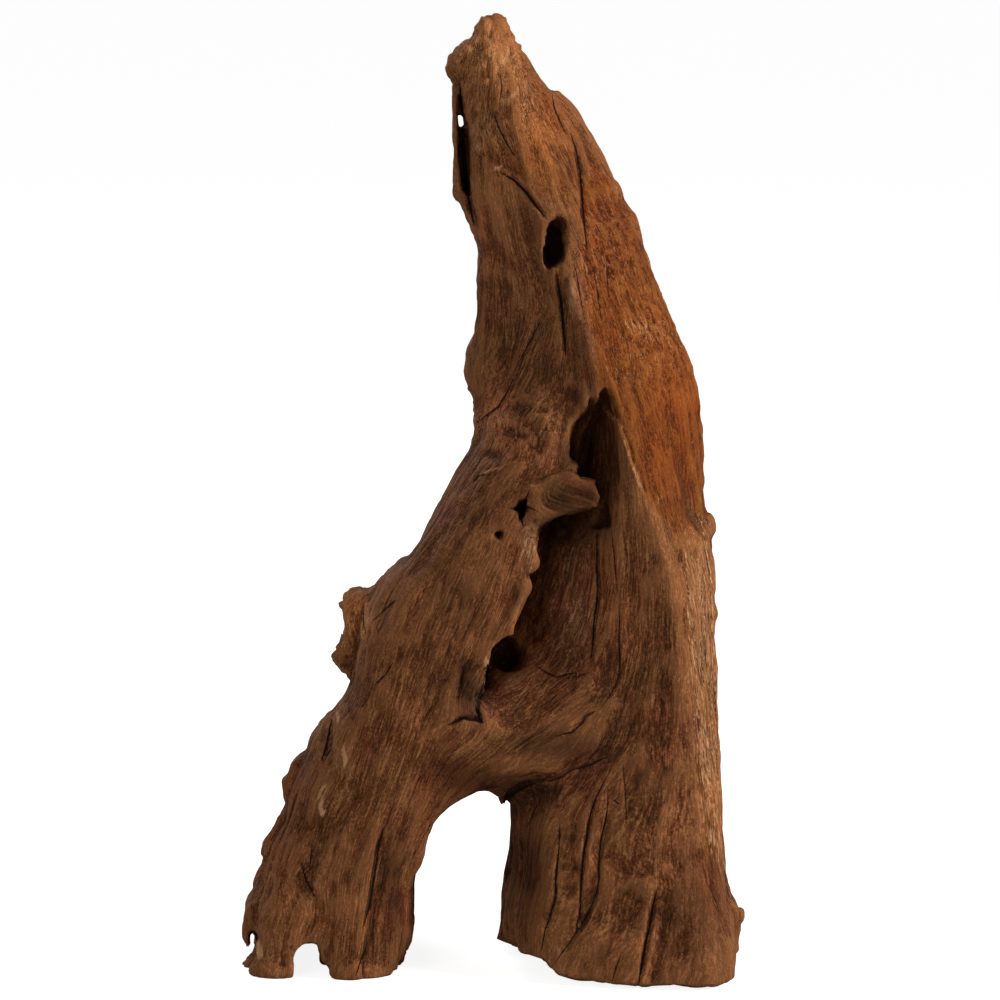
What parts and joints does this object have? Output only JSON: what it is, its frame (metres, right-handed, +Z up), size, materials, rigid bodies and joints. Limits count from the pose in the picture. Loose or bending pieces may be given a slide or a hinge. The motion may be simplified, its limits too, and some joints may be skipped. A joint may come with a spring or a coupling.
{
  "type": "driftwood",
  "caption": "Standing piece of aquarium driftwood on two feet, with a swim-through arch between them, a hollow in its front and a tapering top.",
  "frame": {"origin": "centre of the footprint at the level of the feet", "axes": "+Z up along the height, +X to the right of the front view, +Y to the back"},
  "size_m": [0.2701, 0.1778, 0.5079],
  "materials": {
    "wood": "dry, matt, weathered along the grain"
  },
  "bodies": {
    "root": {"driftwood": "wood"}
  },
  "joints": []
}
